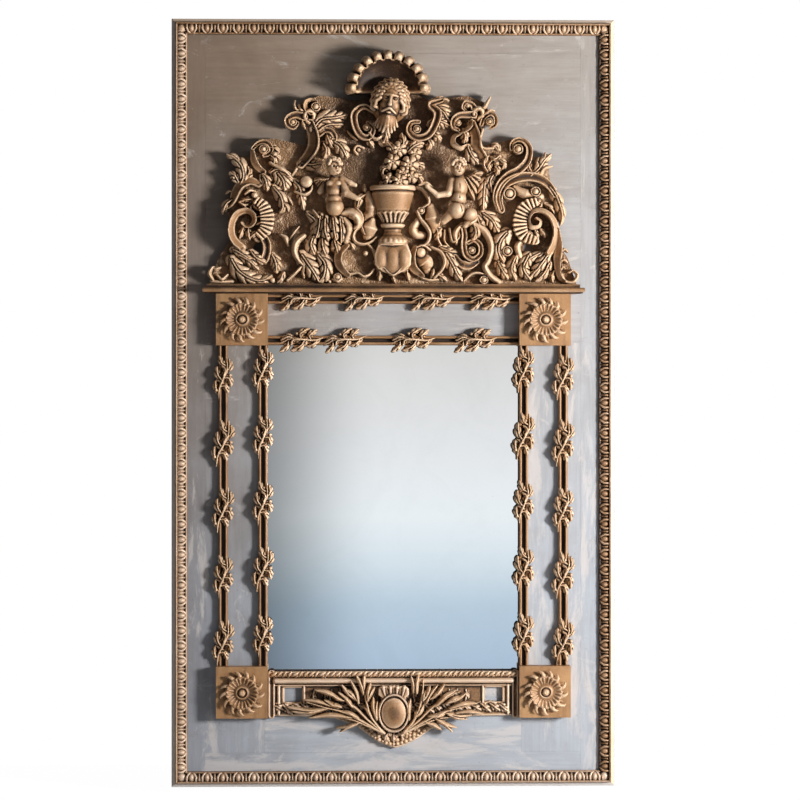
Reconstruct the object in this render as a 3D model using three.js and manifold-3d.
// Trumeau mirror: a grey painted panel with a mirror plate, edged with a carved and gilt
// moulding, and dressed with gilt bars, corner blocks, a carved crest and a carved lower rail.
// Millimetres. X runs across, Y runs from the front (negative) to the wall (Y = 0), Z is up.
// The origin is on the wall plane, at the middle of the width and of the height.

import * as THREE from 'three';
import { mergeVertices } from 'three/addons/utils/BufferGeometryUtils.js';
import Module from 'manifold-3d';

const wasm = await Module();
wasm.setup();

// ---- Driving dimensions ----

const WIDTH = 1270;
const HEIGHT = 2200;
const GAP = 0.3; // between pieces that touch

const BATTEN = { length: 1180, width: 80, depth: 20, heights: { top: 850, middle: 0, bottom: -850 } };
const BOARD_DEPTH = 30;
const STILE_WIDTH = 96;
const RAIL_WIDTH = 97;

// The hole in the panel behind the mirror plate, and the rebate that holds the plate.
const OPENING = { half: 368, top: 172, bottom: -778 };
const REBATE = { width: 12, depth: 16 };
const GLASS_THICKNESS = 4;

const MOULDING = { width: 33, margin: 12 };
const BLOCK = { size: 147, depth: 45, x: 433, upper: 237.5, lower: -826 };
const ROSETTE = { tips: 13, outer: 64, valley: 42, dish: 45, button: 13 };
const BAR = { width: 27, depth: 20, innerX: 373.5, outerX: 487, upperZ: 297, lowerZ: 179 };
const KNOT = { halfWidth: 24, halfLength: 44, depth: 33, pitch: 190, outerShift: -12, innerShift: 8 };
const UPPER_KNOTS = [-265, -85, 110, 280];
const LOWER_KNOTS = [-265, -140, 55, 235];
const CORNICE = { half: 544, bottom: 311.6, top: 339 };
const LOWER_RAIL = { half: 359, top: -768, bottom: -897, tip: -991, depth: 26 };
const RAISED_BAR = { half: 342, top: -784, bottom: -804, height: 9 };
const CARTOUCHE = { halfWidth: 45, halfHeight: 56, z: -885, depth: 36 };

// The crest stands on the cornice. Its heights are measured up from the cornice's top.
const CREST_BASE = CORNICE.top + GAP;
const GROUND_DEPTH = 20;

const HANGER = { x: 587, z: 700, width: 26, length: 60, thickness: 2.5, knuckle: 4.6, bite: 0.8, screwHole: 2.5 };
const RING = { halfWidth: 19, straight: 12, wire: 2, play: 0.5 };

// ---- Planes, from the wall to the front ----

const BATTEN_FRONT = -BATTEN.depth + GAP;
const BOARD_BACK = -BATTEN.depth;
const FACE = BOARD_BACK - BOARD_DEPTH;
const APPLIED = FACE - GAP;
const CARVING = APPLIED - GROUND_DEPTH - GAP;
const ON_RAIL = APPLIED - LOWER_RAIL.depth - GAP;

const RAD = Math.PI / 180;
const SIDES = { left: -1, right: 1 };

// ---- Finishes ----

function finish(color, roughness, metalness) {
  return new THREE.MeshStandardMaterial({ color, roughness, metalness });
}

const PAINT = finish(0x9f9893, 0.65, 0.0);
const GILT = finish(0xb98b5c, 0.48, 0.45);
const SILVER = finish(0xdfe3e6, 0.05, 1.0);
const RAW_WOOD = finish(0x8a6a48, 0.85, 0.0);
const IRON = finish(0x4a4643, 0.55, 0.9);

// ---- Solids ----

// Turns the triangles of a closed shape round if they face inwards.
function outward(geometry) {
  const at = geometry.getAttribute('position');
  const index = geometry.getIndex();
  const corner = [new THREE.Vector3(), new THREE.Vector3(), new THREE.Vector3()];
  let volume = 0;
  for (let i = 0; i < index.count; i += 3) {
    corner.forEach((point, k) => point.fromBufferAttribute(at, index.getX(i + k)));
    volume += corner[0].dot(corner[1].clone().cross(corner[2]));
  }
  if (volume < 0) {
    for (let i = 0; i < index.count; i += 3) {
      const first = index.getX(i);
      index.setX(i, index.getX(i + 1));
      index.setX(i + 1, first);
    }
  }
  return geometry;
}

// Merges a shape's shared corners, so that it is one closed mesh of positions only.
function closed(geometry) {
  const bare = geometry.clone();
  bare.deleteAttribute('normal');
  bare.deleteAttribute('uv');
  return outward(mergeVertices(bare, 1e-3));
}

function solid(geometry) {
  const mesh = closed(geometry);
  return new wasm.Manifold(new wasm.Mesh({
    numProp: 3,
    vertProperties: new Float32Array(mesh.getAttribute('position').array),
    triVerts: new Uint32Array(mesh.getIndex().array),
  }));
}

function geometryOf(manifold) {
  const mesh = manifold.getMesh();
  const geometry = new THREE.BufferGeometry();
  geometry.setAttribute('position', new THREE.BufferAttribute(mesh.vertProperties, 3));
  geometry.setIndex(new THREE.BufferAttribute(mesh.triVerts, 1));
  return geometry;
}

function union(geometries) {
  return geometries.map(solid).reduce((whole, next) => whole.add(next));
}

// The largest connected piece of a solid: trimming can leave crumbs behind.
function largest(manifold) {
  const pieces = manifold.decompose();
  return pieces.reduce((best, next) => (next.volume() > best.volume() ? next : best));
}

function box(x0, x1, y0, y1, z0, z1) {
  const geometry = new THREE.BoxGeometry(x1 - x0, y1 - y0, z1 - z0);
  return geometry.translate((x0 + x1) / 2, (y0 + y1) / 2, (z0 + z1) / 2);
}

// A flat plate: a shape drawn in X and Z, from the plane `back` forward by `depth`.
function plate(shape, back, depth, segments = 6) {
  const geometry = new THREE.ExtrudeGeometry(shape, { depth, bevelEnabled: false, curveSegments: segments });
  return geometry.rotateX(Math.PI / 2).translate(0, back, 0);
}

function polygon(points) {
  return new THREE.Shape(points.map(([x, z]) => new THREE.Vector2(x, z)));
}

// A length of moulding: a section of (out from the face, up) points, run along X.
function run(section, half) {
  const geometry = new THREE.ExtrudeGeometry(polygon(section), { depth: 2 * half, bevelEnabled: false });
  const out = new THREE.Vector3(0, -1, 0);
  const up = new THREE.Vector3(0, 0, 1);
  const along = new THREE.Vector3(-1, 0, 0);
  geometry.translate(0, 0, -half);
  return geometry.applyMatrix4(new THREE.Matrix4().makeBasis(out, up, along));
}

function ellipsoid(x, y, z, rx, ry, rz, around = 9, down = 6) {
  const geometry = new THREE.SphereGeometry(1, around, down);
  return geometry.scale(rx, ry, rz).translate(x, y, z);
}

function limb(from, to, radius) {
  const start = new THREE.Vector3(...from);
  const end = new THREE.Vector3(...to);
  const axis = end.clone().sub(start);
  const geometry = new THREE.CapsuleGeometry(radius, axis.length(), 1, 6);
  const turn = new THREE.Quaternion().setFromUnitVectors(new THREE.Vector3(0, 1, 0), axis.normalize());
  const middle = start.add(end).multiplyScalar(0.5);
  return geometry.applyQuaternion(turn).translate(middle.x, middle.y, middle.z);
}

// ---- Carved forms of the crest. `grow` fattens a form, to trim its neighbour. ----

// Sections of the carved ribbons, as (share of the half width, share of the height).
const BAND_SECTION = [[-1, 0], [-1, 0.65], [0, 1], [1, 0.65], [1, 0]];
const LEAF_SECTION = [[-1, 0], [0, 1], [1, 0]];

// A ribbon with a flat back and a ridged front, along points in X and Z.
function ribbon(profile, points, widthAt, height, grow, steps) {
  const route = new THREE.CatmullRomCurve3(points.map(([x, z]) => new THREE.Vector3(x, 0, z)));
  const positions = [];
  const index = [];
  const corners = profile.length;
  for (let i = 0; i <= steps; i += 1) {
    const t = i / steps;
    const at = route.getPointAt(t);
    const along = route.getTangentAt(t);
    const half = widthAt(t) / 2 + grow;
    profile.forEach(([side, rise]) => {
      const y = rise > 0 ? CARVING - rise * height - 2 * grow : CARVING + grow;
      positions.push(at.x + side * half * along.z, y, at.z - side * half * along.x);
    });
    if (i === steps) continue;
    for (let k = 0; k < corners; k += 1) {
      const a = i * corners + k;
      const b = i * corners + (k + 1) % corners;
      index.push(a, b, a + corners, b, b + corners, a + corners);
    }
  }
  const last = steps * corners;
  for (let k = 1; k < corners - 1; k += 1) {
    index.push(0, k + 1, k);
    index.push(last, last + k, last + k + 1);
  }
  const geometry = new THREE.BufferGeometry();
  geometry.setAttribute('position', new THREE.Float32BufferAttribute(positions, 3));
  geometry.setIndex(index);
  return geometry;
}

function band(points, width, height, grow, steps = points.length + 1) {
  const taper = (t) => width * (1 - 0.35 * Math.abs(2 * t - 1));
  return ribbon(BAND_SECTION, points, taper, height, grow, steps);
}

function leaf(points, width, height, grow) {
  const blade = (t) => Math.max(3, width * Math.sin(Math.PI * (0.12 + 0.83 * t)));
  return ribbon(LEAF_SECTION, points, blade, height, grow, points.length + 1);
}

// Points on part of an ellipse, with angles in degrees from +X towards +Z.
function arc(x, z, rx, rz, from, to, count = 6) {
  const points = [];
  for (let i = 0; i <= count; i += 1) {
    const angle = (from + (to - from) * i / count) * RAD;
    points.push([x + rx * Math.cos(angle), z + rz * Math.sin(angle)]);
  }
  return points;
}

// A low domed button, the eye of a volute.
function roll(x, z, radius, height, grow) {
  const r = radius + grow;
  const h = height + grow;
  const profile = [[0, -grow], [r, -grow], [r, 0.7 * h], [0, h]];
  const points = profile.map(([across, up]) => new THREE.Vector2(across, up));
  const geometry = new THREE.LatheGeometry(points, 10);
  return geometry.rotateX(Math.PI).translate(x, CARVING, z);
}

function mirrored(points, side) {
  return points.map(([x, z]) => [side * x, z]);
}

// The side of a solid in front of the carving plane.
function flatBacked(manifold, grow) {
  const room = box(-WIDTH, WIDTH, -HEIGHT, CARVING + (grow > 0 ? grow : 0), -HEIGHT, HEIGHT);
  return manifold.intersect(solid(room));
}

// A hood of shell lobes over the mask, on a plain hollow band.
function shellCanopy(grow) {
  const centre = { x: -14, z: 556 };
  const lobes = 9;
  const steps = 4 * lobes;
  const outer = [];
  for (let i = 0; i <= steps; i += 1) {
    const angle = (-6 + 192 * i / steps) * RAD;
    const radius = 114 + 11 * Math.abs(Math.sin(lobes * Math.PI * i / steps)) + grow;
    outer.push([centre.x + radius * Math.cos(angle), centre.z + radius * Math.sin(angle)]);
  }
  const inner = arc(centre.x, centre.z, 70 - grow, 70 - grow, 186, -6, 12);
  return solid(plate(polygon([...outer, ...inner]), CARVING + grow, 112 + 2 * grow));
}

// A bearded head with wavy hair.
function mask(grow) {
  const x = -12;
  const forms = [
    ellipsoid(x, -92, 538, 60 + grow, 40 + grow, 62 + grow, 12, 7),
    ellipsoid(x, -120, 536, 39 + grow, 42 + grow, 52 + grow),
    ellipsoid(x, -106, 484, 35 + grow, 36 + grow, 46 + grow),
    ellipsoid(x, -158, 526, 8 + grow, 12 + grow, 16 + grow, 6, 4),
  ];
  return flatBacked(union(forms), grow);
}

// A winged child, its head turned to the urn, rising from leaves.
function putto(side, grow) {
  const x = 172 * side;
  const hand = [side * 92, -118, side > 0 ? 262 : 246];
  const elbow = [side * 120, -128, 238];
  const shoulder = [side * 152, -118, 282];
  const forms = [
    ellipsoid(x, -126, 338, 25 + grow, 27 + grow, 30 + grow),
    ellipsoid(x, -108, 276, 31 + grow, 30 + grow, 42 + grow),
    ellipsoid(x, -114, 222, 36 + grow, 34 + grow, 38 + grow),
    limb(shoulder, elbow, 11 + grow),
    limb(elbow, hand, 10 + grow),
    ellipsoid(x + side * 52, -92, 288, 34 + grow, 14 + grow, 26 + grow, 8, 4),
    ellipsoid(x + side * 14, -96, 160, 50 + grow, 26 + grow, 52 + grow, 10, 6),
  ];
  return flatBacked(union(forms), grow);
}

function urn(grow) {
  const profile = [[0, 116], [40, 116], [40, 128], [26, 148], [26, 164], [40, 172], [44, 206], [50, 258],
    [60, 272], [60, 284], [0, 284]];
  const [bottom, top] = [profile.at(0)[1], profile.at(-1)[1]];
  const points = profile.map(([r, z]) => {
    const lift = (z === top ? grow : 0) - (z === bottom ? grow : 0);
    return new THREE.Vector2(r > 0 ? r + grow : 0, z + lift);
  });
  const turned = new THREE.LatheGeometry(points, 16).rotateX(Math.PI / 2);
  return flatBacked(solid(turned.scale(1, 0.8, 1).translate(-3, -108, 0)), grow);
}

function urnPedestal(grow) {
  const half = 36 + grow;
  const outline = [[-half, 115 + grow], [-half - 8, 70], [-half + 4, 44], [-10, 24], [0, 2 - grow],
    [10, 24], [half - 4, 44], [half + 8, 70], [half, 115 + grow]];
  return solid(plate(polygon(outline), CARVING + grow, 56 + 2 * grow));
}

function bouquet(grow) {
  const flowers = [[6, 306, 30], [40, 318, 26], [-8, 350, 32], [42, 356, 28], [14, 396, 28]];
  const forms = flowers.map(([x, z, r]) => ellipsoid(x, -100, z, r + grow, 34 + grow, r + grow, 8, 5));
  const trimmed = flatBacked(union(forms), grow);
  const rim = box(-WIDTH, WIDTH, -HEIGHT, 0, 0, 284.6 - grow);
  return trimmed.subtract(solid(rim));
}

// The ear at each shoulder of the crest, the scroll beside the mask, and the stalk below.
function finial(side, grow) {
  const at = (points) => mirrored(points, side);
  return union([
    roll(side * 74, 458, 30, 52, grow),
    band(at(arc(92, 490, 42, 42, 150, -40)), 20, 50, grow),
    leaf(at([[96, 520], [130, 532], [172, 540]]), 30, 44, grow),
    band(at([[120, 478], [162, 466], [212, 470]]), 26, 30, grow),
    roll(side * 214, 508, 33, 42, grow),
    roll(side * 262, 480, 18, 36, grow),
    roll(side * 184, 474, 18, 34, grow),
    leaf(at([[236, 500], [258, 524], [282, 548]]), 24, 34, grow),
    band(at([[222, 490], [224, 448], [232, 402], [252, 356]]), 24, 40, grow),
    band(at([[250, 470], [246, 430], [254, 402], [288, 392]]), 14, 30, grow),
    leaf(at([[184, 458], [180, 428], [198, 388]]), 28, 28, grow),
  ]);
}

// The volute at the top of each side, with its flower and its leaves.
function sideScroll(side, grow) {
  const at = (points) => mirrored(points, side);
  return union([
    roll(side * 352, 392, 20, 46, grow),
    band(at([...arc(360, 374, 34, 46, 190, -50, 5), [348, 322], [312, 296], [288, 258]]), 20, 44, grow),
    roll(side * 290, 348, 26, 42, grow),
    band(at([[290, 348], [318, 332], [350, 322]]), 20, 30, grow),
    leaf(at([[380, 318], [408, 346], [432, 372], [458, 388]]), 34, 34, grow),
    leaf(at([[262, 352], [268, 300], [262, 252], [256, 216]]), 40, 30, grow),
  ]);
}

// The great volute at each end, and the C-scroll that caps it.
function greatVolute(side, grow) {
  const at = (points) => mirrored(points, side);
  return union([
    roll(side * 328, 260, 20, 46, grow),
    band(at(arc(388, 238, 76, 72, 165, 5)), 24, 48, grow, 9),
    roll(side * 406, 272, 16, 34, grow),
    band(at([[406, 272], [432, 288], [444, 300]]), 16, 28, grow),
    leaf(at([[462, 262], [476, 226], [482, 196], [474, 168]]), 30, 36, grow),
    band(at(arc(412, 166, 74, 78, 95, 275)), 26, 44, grow, 9),
    roll(side * 412, 186, 22, 52, grow),
    band(at(arc(412, 186, 40, 40, 100, -150)), 14, 46, grow, 9),
    band(at([[432, 250], [460, 208], [466, 160], [462, 110], [470, 62], [462, 12]]), 20, 42, grow),
  ]);
}

// The bracket between the child and the great volute.
function bracket(side, grow) {
  const at = (points) => mirrored(points, side);
  return union([
    band(at(arc(200, 104, 50, 50, 100, -100)), 18, 44, grow, 9),
    roll(side * 214, 98, 17, 50, grow),
    band(at([[214, 98], [236, 78], [250, 70]]), 14, 34, grow),
    band(at([[216, 182], [262, 158], [284, 110], [264, 60], [292, 16]]), 18, 50, grow, 9),
    leaf(at([[322, 168], [318, 120], [312, 72], [318, 30]]), 54, 42, grow),
    band(at([[282, 112], [300, 104], [318, 100]]), 20, 34, grow),
  ]);
}

// Knotted strapwork beside the urn, over the round scroll at its foot.
function apron(side, grow) {
  const at = (points) => mirrored(points, side);
  return union([
    band(at([[112, 238], [90, 252], [66, 214], [88, 188], [106, 164], [114, 140], [100, 116]]), 15, 40, grow),
    band(at(arc(86, 66, 46, 47, 100, 430, 12)), 18, 42, grow, 13),
    roll(side * 76, 92, 16, 46, grow),
    band(at([[76, 92], [90, 110], [96, 116]]), 14, 34, grow),
  ]);
}

// Leaves and curls along the cornice, from the bracket to the crest's end.
function footLeaves(side, grow) {
  const at = (points) => mirrored(points, side);
  return union([
    leaf(at([[338, 84], [346, 44], [378, 20], [424, 22], [452, 38]]), 40, 38, grow),
    band(at([[424, 22], [452, 18], [486, 20]]), 18, 30, grow),
    roll(side * 500, 22, 21, 34, grow),
    leaf(at([[480, 30], [490, 62], [506, 84]]), 26, 28, grow),
  ]);
}

// The ground board of the crest, pierced beside each great volute.
function crestGround() {
  const half = [[50, 550], [105, 525], [210, 540], [265, 520], [278, 475], [250, 440], [250, 395], [335, 415],
    [385, 415], [395, 365], [440, 365], [450, 290], [475, 235], [470, 120], [500, 75], [525, 0]];
  const other = half.map(([x, z]) => [-x, z]).reverse();
  const ground = plate(polygon([[0, 600], ...half, ...other]), APPLIED, GROUND_DEPTH);
  const holes = Object.values(SIDES).map((side) => {
    const hole = new THREE.CylinderGeometry(15, 15, 4 * GROUND_DEPTH, 12);
    return hole.translate(side * 386, APPLIED, 104);
  });
  return solid(ground).subtract(union(holes));
}

// ---- The applied dressing ----

const BAR_SECTION = [[0, -13.5], [9, -13.5], [15, -10], [17, -6], [13, -2.5], [13, 2.5], [17, 6], [15, 10],
  [9, 13.5], [0, 13.5]];

// A double-ridged bar along X, with a knot of leaves at each place in `knots`, no higher than `top`.
function bar(half, knots, top = BLOCK.size) {
  const forms = [run(BAR_SECTION, half)];
  knots.forEach((x) => {
    forms.push(ellipsoid(x, 0, 0, KNOT.halfLength, KNOT.depth, KNOT.halfWidth, 6, 4));
  });
  const slab = box(-half, half, -HEIGHT, 0, -BLOCK.size, top);
  return union(forms).intersect(solid(slab));
}

// Mouldings are cut at 45 degrees: each point of the section ends as far out as it lies.
const EDGE_SECTION = [[0, 0], [0, 7], [6, 7], [8, 11], [12, 17], [18, 21], [25, 22], [27, 20], [28, 24],
  [31, 24], [33, 21], [33, 0]];

function edgeMoulding(inner, halfRun) {
  const geometry = new THREE.ExtrudeGeometry(polygon(EDGE_SECTION), { depth: 1, bevelEnabled: false });
  const at = geometry.getAttribute('position');
  for (let i = 0; i < at.count; i += 1) {
    const across = at.getX(i);
    const end = at.getZ(i) > 0.5 ? 1 : -1;
    at.setXYZ(i, end * (halfRun + across), APPLIED - at.getY(i), inner + across);
  }
  return solid(geometry);
}

function cornice() {
  const section = [[0, 0], [66, 0], [68, 4], [76, 4], [80, 7], [80, 13], [76, 16], [50, 16], [50, 27.4], [0, 27.4]];
  return solid(run(section, CORNICE.half));
}

function rosette() {
  const star = [];
  for (let i = 0; i < 2 * ROSETTE.tips; i += 1) {
    const angle = Math.PI * i / ROSETTE.tips;
    const radius = i % 2 ? ROSETTE.valley : ROSETTE.outer;
    star.push([radius * Math.cos(angle), radius * Math.sin(angle)]);
  }
  const dish = [[0, 5], [40, 5], [ROSETTE.dish, 14], [ROSETTE.dish - 6, 17], [20, 11], [18, 18],
    [ROSETTE.button, 14], [ROSETTE.button, 19], [0, 22]];
  const turned = new THREE.LatheGeometry(dish.map(([r, y]) => new THREE.Vector2(r, y)), 16);
  return union([plate(polygon(star), 0, 9), turned.rotateX(Math.PI)]);
}

// The rail under the mirror: a pierced board with a raised bar and a drop at its middle.
function lowerRail() {
  const { half, top, bottom, tip, depth } = LOWER_RAIL;
  const shape = new THREE.Shape();
  shape.moveTo(-half, top);
  shape.lineTo(-half, bottom);
  shape.lineTo(-180, bottom);
  shape.quadraticCurveTo(-95, bottom - 12, -60, tip + 30);
  shape.quadraticCurveTo(-30, tip, 0, tip);
  shape.quadraticCurveTo(30, tip, 60, tip + 30);
  shape.quadraticCurveTo(95, bottom - 12, 180, bottom);
  shape.lineTo(half, bottom);
  shape.lineTo(half, top);
  const windows = Object.values(SIDES).map((side) => {
    return box(side * 287 - 25, side * 287 + 25, APPLIED - 2 * depth, FACE, -856, -815);
  });
  const { half: barHalf, top: barTop, bottom: barBottom, height } = RAISED_BAR;
  const raised = box(-barHalf, barHalf, APPLIED - depth - height, APPLIED - 1, barBottom, barTop);
  return union([plate(shape, APPLIED, depth, 4), raised]).subtract(union(windows));
}

// A domed oval with a raised rim, under a square cushion.
function cartouche(grow) {
  const groove = grow > 0 ? [] : [[0.82, 17]];
  const profile = [[0, -grow], [1, -grow], [1, 14 + grow], [0.86, 21 + grow], ...groove,
    [0.5, 31 + grow], [0, CARTOUCHE.depth + grow]];
  const oval = new THREE.LatheGeometry(profile.map(([r, y]) => new THREE.Vector2(r, y)), 20);
  oval.scale(CARTOUCHE.halfWidth + grow, 1, CARTOUCHE.halfHeight + grow).rotateX(Math.PI);
  oval.translate(0, ON_RAIL, CARTOUCHE.z);
  const cushion = box(-44 - grow, 44 + grow, ON_RAIL - 22 - grow, ON_RAIL + grow, -850, -806 + grow);
  return union([oval, cushion]);
}

// A spray of slender blades that fans out from below the cartouche.
function palmSpray(side) {
  const root = [26, -943];
  const tips = [[50, -786], [84, -792], [124, -800], [170, -812], [214, -826], [246, -858], [250, -892],
    [196, -918], [138, -932]];
  const blades = tips.map(([x, z]) => {
    const middle = [(root[0] + x) / 2 - 6, (root[1] + z) / 2 - 8];
    return leaf(mirrored([root, middle, [x, z]], side), 20, 24, 0);
  });
  const spray = union(blades).translate([0, ON_RAIL - CARVING, 0]);
  const { top, bottom, height } = RAISED_BAR;
  const raised = box(-WIDTH, WIDTH, ON_RAIL - height - GAP, FACE, bottom - GAP, top + GAP);
  return spray.subtract(solid(raised)).subtract(cartouche(GAP));
}

// ---- The hardware on the back. Each piece's origin is on the axis that the ring turns on. ----

// A screwed strap with a rolled end, which the ring turns in.
function hangerStrap() {
  const { width, length, thickness, knuckle, bite, screwHole } = HANGER;
  const bladeBack = bite - knuckle;
  const blade = box(-width / 2, width / 2, bladeBack - thickness, bladeBack, -length, 0);
  const barrel = new THREE.CylinderGeometry(knuckle, knuckle, width, 12).rotateZ(Math.PI / 2);
  const boreRadius = RING.wire + RING.play;
  const bore = new THREE.CylinderGeometry(boreRadius, boreRadius, width + 2, 8).rotateZ(Math.PI / 2);
  const screwHoles = [0.4, 0.8].map((share) => {
    const hole = new THREE.CylinderGeometry(screwHole, screwHole, 4 * thickness, 8);
    return hole.translate(0, bladeBack, -share * length);
  });
  return union([blade, barrel]).subtract(union([bore, ...screwHoles]));
}

// A D-shaped wire ring, hanging straight down.
function hangerRing() {
  const { halfWidth, straight, wire } = RING;
  const bend = arc(0, -straight, halfWidth, halfWidth, 180, 360, 8);
  const points = [[-halfWidth, 0], ...bend, [halfWidth, 0]].map(([x, z]) => new THREE.Vector3(x, 0, z));
  const section = new THREE.Shape();
  section.absarc(0, 0, wire, 0, 2 * Math.PI);
  const extrudePath = new THREE.CatmullRomCurve3(points, false, 'centripetal');
  const bow = new THREE.ExtrudeGeometry(section, { steps: 14, extrudePath, curveSegments: 3 });
  const pin = new THREE.CylinderGeometry(wire, wire, 2 * (halfWidth + wire), 8).rotateZ(Math.PI / 2);
  return union([bow, pin]);
}

// ---- The boards ----

const STILE_INNER = WIDTH / 2 - STILE_WIDTH;
const RAIL_INNER = HEIGHT / 2 - RAIL_WIDTH;

function board(x0, x1, z0, z1) {
  return solid(box(x0, x1, FACE, BOARD_BACK, z0, z1));
}

// The rebate for the plate and its backing, open to the back.
function glassPocket() {
  const { half, top, bottom } = OPENING;
  const reach = REBATE.width;
  return solid(box(-half - reach, half + reach, BOARD_BACK - REBATE.depth, 0, bottom - reach, top + reach));
}

function glassSheet(front, thickness) {
  const { half, top, bottom } = OPENING;
  const reach = REBATE.width - GAP;
  return solid(box(-half - reach, half + reach, front, front + thickness, bottom - reach, top + reach));
}

// ---- Assembly ----

const trumeau = new THREE.Group();

function add(name, shape, material, parent = trumeau) {
  const geometry = geometryOf(shape);
  const mesh = new THREE.Mesh(geometry, material);
  mesh.name = name;
  parent.add(mesh);
  return mesh;
}

const pocket = glassPocket();
const edge = STILE_INNER - GAP;
const foot = -RAIL_INNER + GAP;
const head = RAIL_INNER - GAP;

add('rail_top', board(-edge, edge, RAIL_INNER, HEIGHT / 2), PAINT);
add('rail_bottom', board(-edge, edge, -HEIGHT / 2, -RAIL_INNER), PAINT);
add('panel_head', board(-edge, edge, OPENING.top, head).subtract(pocket), PAINT);
add('panel_foot', board(-OPENING.half, OPENING.half, foot, OPENING.bottom).subtract(pocket), PAINT);
Object.entries(SIDES).forEach(([name, side]) => {
  const stile = [side * STILE_INNER, side * WIDTH / 2].sort((a, b) => a - b);
  const panel = [side * (OPENING.half + GAP), side * edge].sort((a, b) => a - b);
  add(`stile_${name}`, board(...stile, -HEIGHT / 2, HEIGHT / 2), PAINT);
  add(`panel_${name}`, board(...panel, foot, OPENING.top - GAP).subtract(pocket), PAINT);
});

const glassFront = BOARD_BACK - REBATE.depth + GAP;
const backingFront = glassFront + GLASS_THICKNESS + GAP;
add('mirror_glass', glassSheet(glassFront, GLASS_THICKNESS), SILVER);
add('mirror_backing', glassSheet(backingFront, BOARD_BACK - backingFront), RAW_WOOD);

Object.entries(BATTEN.heights).forEach(([name, z]) => {
  const half = BATTEN.length / 2;
  const batten = box(-half, half, BATTEN_FRONT, 0, -BATTEN.width / 2, BATTEN.width / 2);
  add(`batten_${name}`, solid(batten), RAW_WOOD).position.z = z;
});

const mouldingX = WIDTH / 2 - MOULDING.margin - MOULDING.width;
const mouldingZ = HEIGHT / 2 - MOULDING.margin - MOULDING.width;
const longMoulding = edgeMoulding(mouldingX, mouldingZ - 2 * GAP);
const shortMoulding = edgeMoulding(mouldingZ, mouldingX);
add('edge_moulding_top', shortMoulding, GILT);
add('edge_moulding_bottom', shortMoulding, GILT).rotation.y = Math.PI;
add('edge_moulding_right', longMoulding, GILT).rotation.y = Math.PI / 2;
add('edge_moulding_left', longMoulding, GILT).rotation.y = -Math.PI / 2;

add('cornice', cornice(), GILT).position.set(0, APPLIED, CORNICE.bottom);

Object.entries({ upper: BLOCK.upper, lower: BLOCK.lower }).forEach(([level, z]) => {
  Object.entries(SIDES).forEach(([name, side]) => {
    const half = BLOCK.size / 2;
    const cube = solid(box(-half, half, -BLOCK.depth, 0, -half, half));
    add(`corner_block_${level}_${name}`, cube, GILT).position.set(side * BLOCK.x, APPLIED, z);
    const front = APPLIED - BLOCK.depth - GAP;
    add(`rosette_${level}_${name}`, rosette(), GILT).position.set(side * BLOCK.x, front, z);
  });
});

const acrossHalf = BLOCK.x - BLOCK.size / 2 - GAP;
add('bar_upper', bar(acrossHalf, UPPER_KNOTS, BAR.width / 2), GILT).position.set(0, APPLIED, BAR.upperZ);
add('bar_lower', bar(acrossHalf, LOWER_KNOTS), GILT).position.set(0, APPLIED, BAR.lowerZ);

const uprightTop = BLOCK.upper - BLOCK.size / 2 - GAP;
const uprightBottom = BLOCK.lower + BLOCK.size / 2 + GAP;
const uprightHalf = (uprightTop - uprightBottom) / 2;
const uprightMiddle = (uprightTop + uprightBottom) / 2;
Object.entries(SIDES).forEach(([name, side]) => {
  [['outer', BAR.outerX, KNOT.outerShift], ['inner', BAR.innerX, KNOT.innerShift]].forEach(([place, x, shift]) => {
    const knots = [-2, -1, 0, 1, 2].map((step) => shift + step * KNOT.pitch);
    const upright = add(`bar_${place}_${name}`, bar(uprightHalf, knots), GILT);
    upright.rotation.y = -Math.PI / 2;
    upright.position.set(side * x, APPLIED, uprightMiddle);
  });
});

add('lower_rail', lowerRail(), GILT);
add('cartouche', cartouche(0), GILT);
add('palm_spray_left', palmSpray(SIDES.left), GILT);
add('palm_spray_right', palmSpray(SIDES.right), GILT);

// The crest's carvings, in the order in which they are trimmed: each makes way for those before it.
const carvings = [];
function carving(name, make) {
  carvings.push({ name, make });
}

carving('mask', mask);
carving('shell_canopy', shellCanopy);
carving('urn', urn);
carving('urn_pedestal', urnPedestal);
carving('bouquet', bouquet);
const PAIRS = {
  putto,
  ear_finial: finial,
  side_scroll: sideScroll,
  great_volute: greatVolute,
  bracket_scroll: bracket,
  strapwork: apron,
  foot_leaves: footLeaves,
};
Object.entries(PAIRS).forEach(([piece, form]) => {
  Object.entries(SIDES).forEach(([name, side]) => {
    carving(`${piece}_${name}`, (grow) => form(side, grow));
  });
});

const crest = new THREE.Group();
crest.position.z = CREST_BASE;
trumeau.add(crest);
add('crest_ground', crestGround(), GILT, crest);

const shelf = solid(box(-WIDTH, WIDTH, -HEIGHT, 0, -HEIGHT, 0));
const clearance = 1.2 * GAP;
const fitted = [];
carvings.forEach(({ name, make }) => {
  const whole = make(0).subtract(shelf);
  const trimmed = fitted.reduce((rest, earlier) => rest.subtract(earlier(clearance)), whole);
  fitted.push(make);
  add(name, largest(trimmed), GILT, crest);
});

Object.entries(SIDES).forEach(([name, side]) => {
  const axisY = BOARD_BACK + GAP + HANGER.thickness + HANGER.knuckle - HANGER.bite;
  const fitting = new THREE.Group();
  fitting.position.set(side * HANGER.x, axisY, HANGER.z);
  trumeau.add(fitting);
  add(`hanger_strap_${name}`, hangerStrap(), IRON, fitting);
  add(`hanger_ring_${name}`, hangerRing(), IRON, fitting);
});

export default trumeau;
